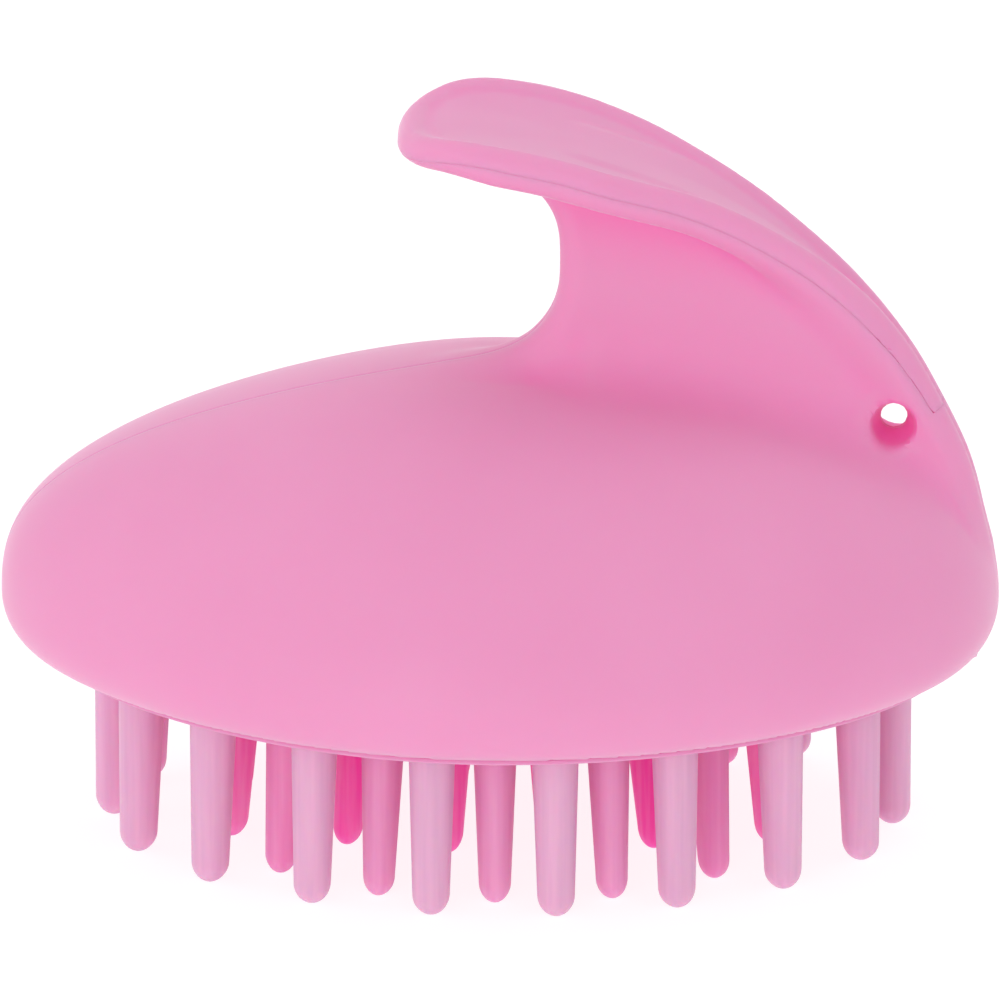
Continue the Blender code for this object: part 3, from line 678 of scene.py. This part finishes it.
# The sums that turn a plain tube, 1 m across and 1 m high, into a pin: a step's name, what it does and to what.
# A value is a number, an input of the tree, or an earlier step. A step named a share stays within 0 and 1.
PIN_STEPS = (
    # How far up the tube a point is; its lower rings go round the tip by angle
    ("share", "ADD", "z", 0.5),
    ("tip share", "DIVIDE", "share", TIP_RINGS),
    ("tip turn", "MULTIPLY", "tip share", math.pi / 2),
    ("tip cosine", "COSINE", "tip turn"),
    ("tip rise", "SUBTRACT", 1.0, "tip cosine"),
    ("tip z", "MULTIPLY", "Tip height", "tip rise"),
    ("tip sine", "SINE", "tip turn"),
    ("tip radius", "MULTIPLY", "Tip radius", "tip sine"),
    # The rest of the rings are spread up the stem, the neck and the head
    ("past tip", "SUBTRACT", "share", TIP_RINGS),
    ("upper share", "DIVIDE", "past tip", 1 - TIP_RINGS),
    ("stem share", "DIVIDE", "upper share", STEM_RINGS),
    ("stem span", "SUBTRACT", "Plate bottom", "Tip height"),
    ("past stem", "SUBTRACT", "upper share", STEM_RINGS),
    ("neck share", "DIVIDE", "past stem", NECK_RINGS - STEM_RINGS),
    ("neck span", "SUBTRACT", "Head bottom", "Plate bottom"),
    ("past neck", "SUBTRACT", "upper share", NECK_RINGS),
    ("head share", "DIVIDE", "past neck", 1 - NECK_RINGS),
    # How high each ring ends up
    ("stem z", "MULTIPLY", "stem share", "stem span"),
    ("neck z", "MULTIPLY", "neck share", "neck span"),
    ("body z", "ADD", "stem z", "neck z"),
    ("head turn", "MULTIPLY", "head share", math.pi),
    ("head cosine", "COSINE", "head turn"),
    ("head rise", "SUBTRACT", 1.0, "head cosine"),
    ("half head rise", "MULTIPLY", 0.5, "head rise"),
    ("head z", "MULTIPLY", "Head height", "half head rise"),
    ("over tip", "ADD", "body z", "head z"),
    ("height", "ADD", "tip z", "over tip"),
    # How wide each ring is: the tapered stem, the bulging head, and the head closing at its top
    ("taper span", "SUBTRACT", "Root radius", "Tip radius"),
    ("taper", "MULTIPLY", "stem share", "taper span"),
    ("head sine", "SINE", "head turn"),
    ("bulge", "POWER", "head sine", 0.35),
    ("head overhang", "SUBTRACT", "Head radius", "Root radius"),
    ("head extra", "MULTIPLY", "bulge", "head overhang"),
    ("past tip radius", "ADD", "taper", "head extra"),
    ("open radius", "ADD", "tip radius", "past tip radius"),
    ("near top", "POWER", "head share", 6.0),
    ("drawn in", "MULTIPLY", 0.45, "near top"),
    ("closing", "SUBTRACT", 1.0, "drawn in"),
    ("round radius", "MULTIPLY", "open radius", "closing"),
    # The mould line down both sides, below the plate only
    ("angle", "ARCTAN2", "y", "x"),
    ("off line", "SUBTRACT", "angle", "Line turn"),
    ("line cosine", "COSINE", "off line"),
    ("both sides", "ABSOLUTE", "line cosine"),
    ("line", "POWER", "both sides", PIN_LINE_SHARPNESS),
    ("line top", "SUBTRACT", "Plate bottom", 0.3 * MM),
    ("below plate", "LESS_THAN", "height", "line top"),
    ("off tip", "DIVIDE", "tip radius", "Tip radius"),
    ("line fade", "MULTIPLY", "below plate", "off tip"),
    ("faded line", "MULTIPLY", "line", "line fade"),
    ("line relief", "MULTIPLY", "Line height", "faded line"),
    ("radius", "ADD", "round radius", "line relief"),
    # Where each point goes: out from the pin's axis, which leans towards its tip
    ("part way up", "DIVIDE", "height", "Plate bottom"),
    ("lean share", "SUBTRACT", 1.0, "part way up"),
    ("x squared", "MULTIPLY", "x", "x"),
    ("y squared", "MULTIPLY", "y", "y"),
    ("both squared", "ADD", "x squared", "y squared"),
    ("from axis", "POWER", "both squared", 0.5),
    ("tube radius", "MAXIMUM", "from axis", 1e-6),
    ("x direction", "DIVIDE", "x", "tube radius"),
    ("out in x", "MULTIPLY", "radius", "x direction"),
    ("lean in x", "MULTIPLY", "lean share", "Shift X"),
    ("x from root", "ADD", "out in x", "lean in x"),
    ("final x", "ADD", "Root X", "x from root"),
    ("y direction", "DIVIDE", "y", "tube radius"),
    ("out in y", "MULTIPLY", "radius", "y direction"),
    ("lean in y", "MULTIPLY", "lean share", "Shift Y"),
    ("y from root", "ADD", "out in y", "lean in y"),
    ("final y", "ADD", "Root Y", "y from root"),
)


def pin_tree():
    """Geometry nodes that shape a tube into one pin: head, neck, leaning stem, round tip and mould line."""
    tree = bpy.data.node_groups.new("pin", "GeometryNodeTree")
    face = tree.interface
    face.new_socket("Geometry", in_out="OUTPUT", socket_type="NodeSocketGeometry")
    names = ("Root X", "Root Y", "Shift X", "Shift Y", "Root radius", "Tip radius", "Plate bottom",
             "Head bottom", "Head radius", "Head height", "Tip height", "Line height", "Line turn")
    for name in names:
        face.new_socket(name, in_out="INPUT", socket_type="NodeSocketFloat")
    face.new_socket("Material", in_out="INPUT", socket_type="NodeSocketMaterial")
    given = add(tree, "NodeGroupInput").outputs
    sizes = {"Vertices": PIN_SIDES, "Side Segments": PIN_RINGS - 1, "Radius": 1.0, "Depth": 1.0}
    tube = add(tree, "GeometryNodeMeshCylinder", sizes)
    position = add(tree, "GeometryNodeInputPosition").outputs[0]
    at = add(tree, "ShaderNodeSeparateXYZ", {0: position}).outputs
    known = {name: given[name] for name in names} | {"x": at[0], "y": at[1], "z": at[2]}
    for name, operation, *values in PIN_STEPS:
        inputs = {i: known.get(value, value) for i, value in enumerate(values)}
        clamped = name.endswith("share")
        step = add(tree, "ShaderNodeMath", inputs, operation=operation, use_clamp=clamped)
        known[name] = step.outputs[0]
    where = add(tree, "ShaderNodeCombineXYZ", {0: known["final x"], 1: known["final y"], 2: known["height"]})
    moved = add(tree, "GeometryNodeSetPosition", {"Geometry": tube.outputs[0], "Position": where.outputs[0]})
    joined = add(tree, "GeometryNodeMergeByDistance", {"Geometry": moved.outputs[0], "Distance": 0.002 * MM})
    smooth = add(tree, "GeometryNodeSetShadeSmooth", {"Geometry": joined.outputs[0], "Shade Smooth": True})
    real = add(tree, "GeometryNodeRealizeInstances", {0: smooth.outputs[0]})
    coating = {"Geometry": real.outputs[0], "Material": given["Material"]}
    finished = add(tree, "GeometryNodeSetMaterial", coating)
    add(tree, "NodeGroupOutput", {0: finished.outputs[0]})
    return tree


def make_pins(material):
    """One mesh for each pin, at its hole, leaning as its frame piece does."""
    tree = pin_tree()
    sockets = {s.name: s.identifier for s in tree.interface.items_tree if s.in_out == "INPUT"}
    base = bpy.data.objects.new("pin_base", bpy.data.meshes.new("pin_base"))
    bpy.context.collection.objects.link(base)
    chooser = np.random.default_rng(7)
    pins = {}
    for joint in pin_joints():
        name = joint["child"]
        corners = np.array([v.co for v in frame["nodes"][name].data.vertices])
        tip = corners[corners[:, 2] < 0.05 * MM].mean(axis=0)
        x, y, _ = joint["pos_m"]
        root_radius, tip_radius = PIN_RADII[name.split("_")[0]]
        values = {
            "Root X": x, "Root Y": y, "Shift X": float(tip[0]) - x, "Shift Y": float(tip[1]) - y,
            "Root radius": root_radius * MM, "Tip radius": tip_radius * MM,
            "Plate bottom": PLATE_BOTTOM_Z * MM, "Head bottom": (PLATE_TOP_Z + PIN_HEAD_GAP) * MM,
            "Head radius": PIN_HEAD_RADIUS * MM, "Head height": PIN_HEAD_HEIGHT * MM,
            "Tip height": PIN_TIP_HEIGHT * MM, "Line height": PIN_LINE_HEIGHT * MM,
            "Line turn": float(chooser.uniform(-0.25, 0.25)), "Material": material,
        }
        shaping = base.modifiers.new("pin", "NODES")
        shaping.node_group = tree
        for key, value in values.items():
            shaping[sockets[key]] = value
        mesh = evaluated_mesh(base)
        base.modifiers.clear()
        mesh.name = name + "_silicone"
        piece = bpy.data.objects.new(name + "_silicone", mesh)
        bpy.context.collection.objects.link(piece)
        pins[name] = piece
    bpy.data.objects.remove(base)
    return pins


# ---------------------------------------------------------------- stage

def make_stage():
    """A pale floor that glows a little, an even white sky and three soft lamps."""
    reach = 8.0
    mesh = bpy.data.meshes.new("floor")
    corners = [(-reach, -reach, 0), (reach, -reach, 0), (reach, reach, 0), (-reach, reach, 0)]
    mesh.from_pydata(corners, [], [(0, 1, 2, 3)])
    floor = bpy.data.objects.new("floor", mesh)
    bpy.context.collection.objects.link(floor)
    # Matt white paper that gives off light of its own, so that it stays white without a bright lamp
    paper, _, shader = new_material("white_paper")
    shader.inputs["Base Color"].default_value = linear("#8c8c8c")
    shader.inputs["Roughness"].default_value = 1.0
    shader.inputs["Specular IOR Level"].default_value = 0.0
    shader.inputs["Emission Color"].default_value = linear("#ffffff")
    shader.inputs["Emission Strength"].default_value = 0.84
    mesh.materials.append(paper)
    sky = bpy.data.worlds.new("studio")
    sky.use_nodes = True
    # White to look at, and a little weaker as light, so that the lamps can shape the form
    seen = add(sky.node_tree, "ShaderNodeLightPath").outputs["Is Camera Ray"]
    strength = add(sky.node_tree, "ShaderNodeMapRange", {0: seen, 3: 0.84, 4: 1.0})
    sky.node_tree.nodes["Background"].inputs[0].default_value = (1.0, 1.0, 1.0, 1.0)
    sky.node_tree.links.new(strength.outputs[0], sky.node_tree.nodes["Background"].inputs[1])
    bpy.context.scene.world = sky
    lamps = {
        "front": ((-0.25, -0.95, 0.12), 0.6, 3.0),
        "left": ((-0.9, 0.0, 0.4), 0.6, 0.7),
        "top": ((0.1, 0.3, 0.9), 0.8, 1.5),
    }
    for name, (where, size, power) in lamps.items():
        light = bpy.data.lights.new(name, "AREA")
        light.size = size
        light.energy = power
        lamp = bpy.data.objects.new(name, light)
        lamp.location = where
        lamp.visible_camera = False
        lamp.rotation_euler = (Vector((0, 0, 0.035)) - Vector(where)).to_track_quat("-Z", "Y").to_euler()
        bpy.context.collection.objects.link(lamp)
    bpy.context.scene.view_settings.view_transform = "Standard"


def make_camera(azimuth=2.0, elevation=20.0, distance=3.0, width=0.09497, middle=(0.0, 0.0, 0.0322)):
    """A long lens that takes in the brush's length exactly, from a little to the right and 20 degrees up."""
    a, e = math.radians(azimuth), math.radians(elevation)
    back = Vector((math.sin(a) * math.cos(e), -math.cos(a) * math.cos(e), math.sin(e)))
    right = Vector((math.cos(a), math.sin(a), 0))
    turn = Matrix((right, back.cross(right), back)).transposed().to_4x4()
    turn.translation = Vector(middle) + back * distance
    data = bpy.data.cameras.new("camera")
    data.sensor_width = 36.0
    data.lens = data.sensor_width * distance / width
    data.clip_start, data.clip_end = 0.05, 20.0
    camera = bpy.data.objects.new("camera", data)
    camera.matrix_world = turn
    bpy.context.collection.objects.link(camera)
    bpy.context.scene.camera = camera


def main():
    make_camera()
    make_stage()
    grip_finish = soft_touch_polypropylene()
    plate_finish = moulded_polypropylene()
    for node, piece in make_grip().items():
        piece.data.materials.append(grip_finish)
        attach(piece, "root")
        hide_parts(node)
    plate = make_plate()
    plate.data.materials.clear()
    plate.data.materials.append(plate_finish)
    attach(plate, "root")
    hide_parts("base_plate")
    for node, piece in make_pins(moulded_silicone()).items():
        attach(piece, node)
        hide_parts(node)
    steel = zinc_plated_steel()
    finishes = {"pin_retainer": plate_finish} | {f"cassette_screw_{i}": steel for i in range(1, 5)}
    for node, finish in finishes.items():
        mesh = frame["nodes"][node].data
        mesh.materials.clear()
        mesh.materials.append(finish)


main()
